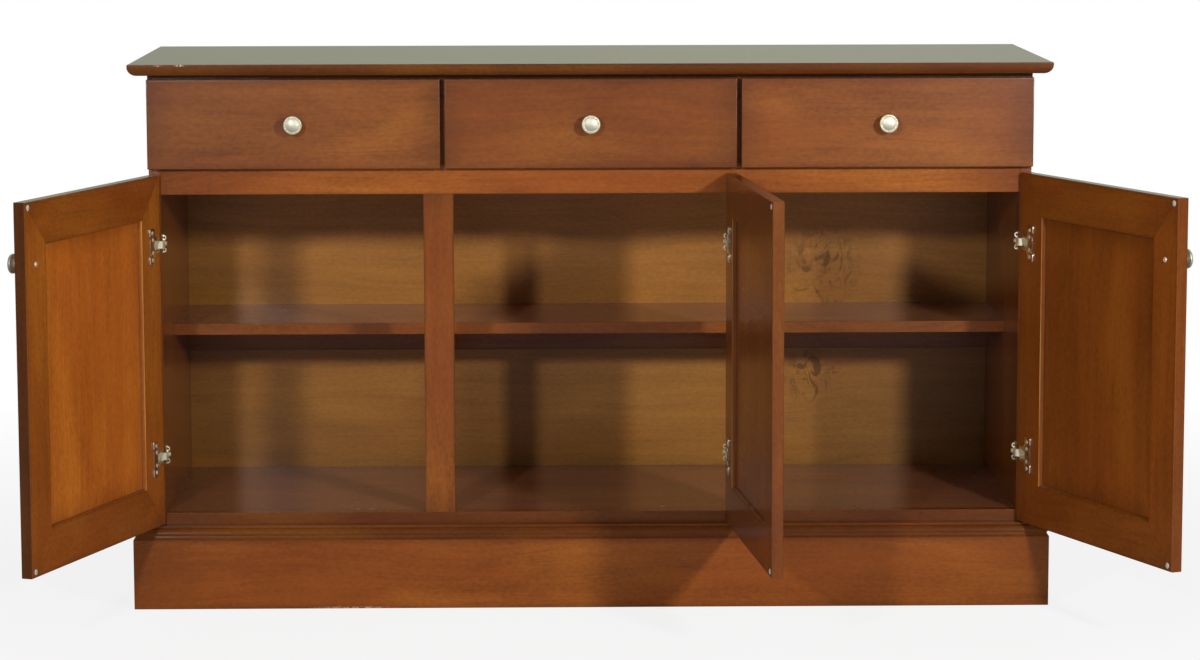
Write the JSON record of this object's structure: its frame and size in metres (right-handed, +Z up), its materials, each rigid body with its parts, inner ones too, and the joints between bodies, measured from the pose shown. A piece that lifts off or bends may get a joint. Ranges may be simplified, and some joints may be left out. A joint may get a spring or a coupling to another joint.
{
  "type": "sideboard",
  "caption": "Low wooden sideboard: drawers over doors on a moulded plinth, with a half-depth shelf inside; drawers slide, doors swing, and it rests with its doors open.",
  "frame": {"origin": "centre of the plinth's footprint, on the floor", "axes": "+Z up, the front with its doors and drawers faces -Y, +X to the right of someone facing the front"},
  "size_m": [1.8392, 0.972, 0.914],
  "materials": {
    "stained_wood": "satin lacquer",
    "back_wood": "satin lacquer",
    "box_wood": "clear lacquer",
    "nickel": "satin nickel",
    "zinc_steel": "zinc plated",
    "clear_bumper": "soft clear"
  },
  "bodies": {
    "case": {"top_board": "stained_wood", "left_side_panel": "stained_wood", "right_side_panel": "stained_wood", "back_panel": "back_wood", "floor_panel": "stained_wood", "back_rails": "box_wood", "shelf": "stained_wood", "shelf_cleat": "stained_wood", "top_rail": "stained_wood", "middle_rail": "stained_wood", "bottom_rail": "stained_wood", "left_end_stile": "stained_wood", "right_end_stile": "stained_wood", "left_mid_stile": "stained_wood", "right_mid_stile": "stained_wood", "drawer_stiles": "stained_wood", "plinth_front": "stained_wood", "plinth_left": "stained_wood", "plinth_right": "stained_wood", "plinth_back": "box_wood", "plinth_braces": "box_wood", "base_cap_front": "stained_wood", "base_cap_left": "stained_wood", "base_cap_right": "stained_wood", "drawer_guides": "box_wood", "slide_channels": "zinc_steel", "hinge_arms": "nickel"},
    "left_drawer": {"left_drawer_front": "stained_wood", "left_drawer_box": "box_wood", "left_drawer_bottom": "box_wood", "left_drawer_knob": "nickel", "left_drawer_slides": "zinc_steel"},
    "middle_drawer": {"middle_drawer_front": "stained_wood", "middle_drawer_box": "box_wood", "middle_drawer_bottom": "box_wood", "middle_drawer_knob": "nickel", "middle_drawer_slides": "zinc_steel"},
    "right_drawer": {"right_drawer_front": "stained_wood", "right_drawer_box": "box_wood", "right_drawer_bottom": "box_wood", "right_drawer_knob": "nickel", "right_drawer_slides": "zinc_steel"},
    "left_door": {"left_door_stiles": "stained_wood", "left_door_rails": "stained_wood", "left_door_panel": "stained_wood", "left_door_knob": "nickel", "left_door_hinges": "nickel", "left_door_bumpers": "clear_bumper"},
    "middle_door": {"middle_door_stiles": "stained_wood", "middle_door_rails": "stained_wood", "middle_door_panel": "stained_wood", "middle_door_hinges": "nickel", "middle_door_bumpers": "clear_bumper"},
    "right_door": {"right_door_stiles": "stained_wood", "right_door_rails": "stained_wood", "right_door_panel": "stained_wood", "right_door_knob": "nickel", "right_door_hinges": "nickel", "right_door_bumpers": "clear_bumper"}
  },
  "joints": [
    {"name": "left_drawer_slide", "type": "slide", "parent": "case", "child": "left_drawer", "axis": [0, -1, 0], "range_m": [0, 0.33]},
    {"name": "middle_drawer_slide", "type": "slide", "parent": "case", "child": "middle_drawer", "axis": [0, -1, 0], "range_m": [0, 0.33]},
    {"name": "right_drawer_slide", "type": "slide", "parent": "case", "child": "right_drawer", "axis": [0, -1, 0], "range_m": [0, 0.33]},
    {"name": "left_door_hinge", "type": "hinge", "parent": "case", "child": "left_door", "pos_m": [-0.728, -0.23725, 0.434], "axis": [0, 0, 1], "range_deg": [-2.8, 109.2]},
    {"name": "middle_door_hinge", "type": "hinge", "parent": "case", "child": "middle_door", "pos_m": [0.23617, -0.23725, 0.434], "axis": [0, 0, 1], "range_deg": [-95.7, 2.3]},
    {"name": "right_door_hinge", "type": "hinge", "parent": "case", "child": "right_door", "pos_m": [0.728, -0.23725, 0.434], "axis": [0, 0, 1], "range_deg": [-112.5, 0]}
  ]
}
